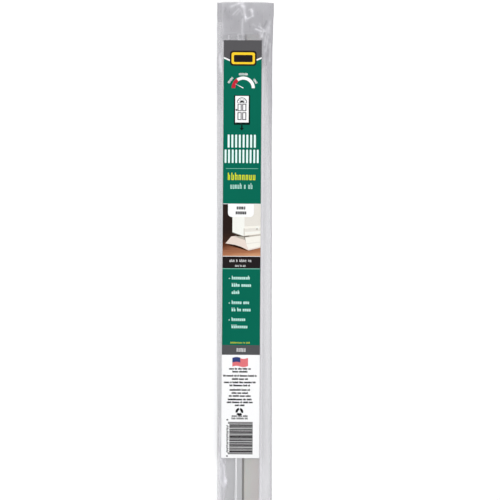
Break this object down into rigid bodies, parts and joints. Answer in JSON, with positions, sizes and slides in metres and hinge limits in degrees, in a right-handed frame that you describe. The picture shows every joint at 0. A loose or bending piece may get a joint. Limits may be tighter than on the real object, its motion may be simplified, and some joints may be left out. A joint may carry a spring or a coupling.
{
  "type": "door sweep",
  "caption": "Packaged door sweep: slotted aluminium carrier with vinyl seal blade and printed card in a clear film sleeve, with screws in a packet.",
  "frame": {"origin": "centre of the pack's underside, where its back wall of film lies on the surface", "axes": "+X across the sweep from the carrier's outer edge towards the vinyl seal, +Y along the pack towards the sleeve's open end, +Z out of the printed front"},
  "size_m": [0.06, 1.0064, 0.0076],
  "materials": {
    "aluminium": "satin",
    "vinyl": "satin",
    "printed_card": "gloss",
    "sleeve_film": "gloss",
    "packet_film": "gloss",
    "screw_steel": "gloss"
  },
  "bodies": {
    "sweep": {"carrier": "aluminium", "seal_spline": "vinyl"},
    "seal": {"seal_blade": "vinyl"},
    "card": {"label_card": "printed_card"},
    "sleeve": {"sleeve_back": "sleeve_film", "sleeve_front": "sleeve_film", "sleeve_side_left": "sleeve_film", "sleeve_side_right": "sleeve_film", "sleeve_end": "sleeve_film", "screw_packet": "packet_film", "screw_1": "screw_steel", "screw_2": "screw_steel", "screw_3": "screw_steel", "screw_4": "screw_steel", "screw_5": "screw_steel", "screw_6": "screw_steel"}
  },
  "joints": [
    {"name": "seal_flex", "type": "hinge", "parent": "sweep", "child": "seal", "pos_m": [0.00055, 0, 0.0024], "axis": [0, 1, 0], "range_deg": [-5, 5], "stiffness_Nm_per_rad": 0.1},
    {"name": "card_slide", "type": "slide", "parent": "sweep", "child": "card", "axis": [0, 1, 0], "range_m": [0, 0.5]},
    {"name": "sleeve_slide", "type": "slide", "parent": "sweep", "child": "sleeve", "axis": [0, -1, 0], "range_m": [0, 0.955]}
  ]
}
